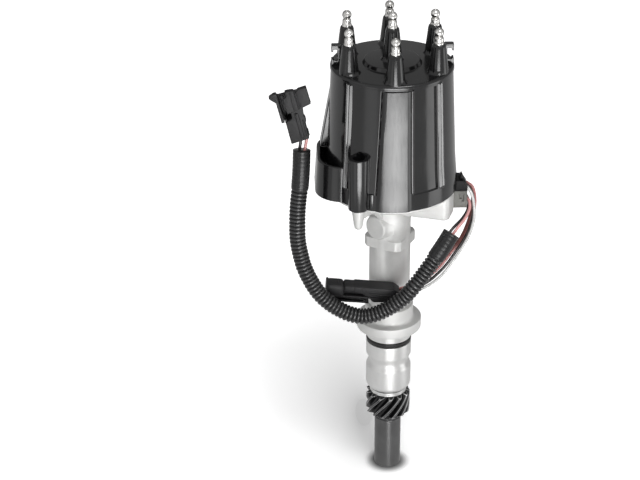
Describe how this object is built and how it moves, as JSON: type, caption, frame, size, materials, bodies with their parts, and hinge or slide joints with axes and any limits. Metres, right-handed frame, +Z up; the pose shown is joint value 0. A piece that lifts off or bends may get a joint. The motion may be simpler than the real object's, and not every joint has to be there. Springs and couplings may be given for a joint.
{
  "type": "engine ignition distributor",
  "caption": "Engine distributor with a tall moulded cap with plug towers, cast housing and block pilot, helical drive gear, lower drive sleeve and a loom with connectors.",
  "frame": {"origin": "on the shaft axis, at the underside of the hold-down flange, where the pilot enters the engine block", "axes": "+Z up the shaft axis to the cap; -Y is the front, where one plug tower stands; the plugs and wires leave at +X"},
  "size_m": [0.1499, 0.0978, 0.372],
  "materials": {
    "cap_plastic": "gloss",
    "terminal_metal": "polished",
    "carbon": "matt",
    "spring_steel": "satin",
    "screw_steel": "satin",
    "rotor_plastic": "satin",
    "blade_brass": "satin",
    "core_steel": "satin",
    "magnet": "matt",
    "copper": "satin",
    "module_plastic": "matt",
    "plate_aluminium": "satin",
    "grey_plastic": "matt",
    "plug_plastic": "satin",
    "cast_aluminium": "as cast, machined below the shoulder",
    "bearing_bronze": "satin",
    "seal_rubber": "matt",
    "shaft_steel": "ground",
    "washer_steel": "ground",
    "gear_iron": "blackened",
    "sleeve_steel": "oiled",
    "loom_plastic": "satin",
    "wire_pink": "satin",
    "wire_black": "satin",
    "wire_brown": "satin",
    "wire_white": "satin",
    "connector_plastic": "matt",
    "contact_tin": "satin"
  },
  "bodies": {
    "distributor": {"distributor_cap": "cap_plastic", "plug_terminals": "terminal_metal", "coil_terminal": "terminal_metal", "button_spring": "spring_steel", "cap_screws": "screw_steel", "pole_piece": "core_steel", "pickup_magnet": "magnet", "pickup_bobbin": "rotor_plastic", "pickup_winding": "copper", "pickup_screws": "screw_steel", "ignition_module": "module_plastic", "module_plate": "plate_aluminium", "coil_plug": "grey_plastic", "timing_plug": "plug_plastic", "housing": "cast_aluminium", "upper_bushing": "bearing_bronze", "lower_bushing": "bearing_bronze", "shaft_seal": "seal_rubber", "thrust_washer": "washer_steel", "seal_ring": "seal_rubber", "harness_loom": "loom_plastic", "coil_wire_pink": "wire_pink", "coil_wire_black": "wire_black", "coil_tail_pink": "wire_pink", "coil_tail_black": "wire_black", "timing_wire_white": "wire_white", "timing_wire_black": "wire_black", "timing_wire_brown": "wire_brown", "timing_wire_pink": "wire_pink", "coil_connector": "connector_plastic", "coil_connector_seals": "seal_rubber", "coil_connector_sockets": "contact_tin", "timing_connector": "connector_plastic", "timing_connector_pins": "contact_tin"},
    "rotating": {"main_shaft": "shaft_steel", "shim_washer": "washer_steel", "drive_gear": "gear_iron", "gear_pin": "shaft_steel", "drive_sleeve": "sleeve_steel", "sleeve_pin": "shaft_steel", "timer_core": "core_steel", "rotor": "rotor_plastic", "rotor_blade": "blade_brass", "rotor_contact": "blade_brass"},
    "button": {"carbon_button": "carbon"},
    "coil_latch": {"coil_connector_latch": "connector_plastic"},
    "timing_latch": {"timing_connector_latch": "connector_plastic"}
  },
  "joints": [
    {"name": "shaft_spin", "type": "hinge", "parent": "distributor", "child": "rotating", "pos_m": [0, 0, 0], "axis": [0, 0, 1], "continuous": true},
    {"name": "button_slide", "type": "slide", "parent": "distributor", "child": "button", "axis": [0, 0, 1], "range_m": [0, 0.0015], "stiffness_N_per_m": 400, "springref_m": -0.003, "deforming": ["button_spring"]},
    {"name": "coil_latch_flex", "type": "hinge", "parent": "distributor", "child": "coil_latch", "pos_m": [-0.0771, -0.025, 0.18], "axis": [0, -1, 0], "range_deg": [0, 8], "stiffness_Nm_per_rad": 0.4},
    {"name": "timing_latch_flex", "type": "hinge", "parent": "distributor", "child": "timing_latch", "pos_m": [-0.0179, -0.022, 0.0365], "axis": [0, -1, 0], "range_deg": [0, 6], "stiffness_Nm_per_rad": 0.4}
  ]
}
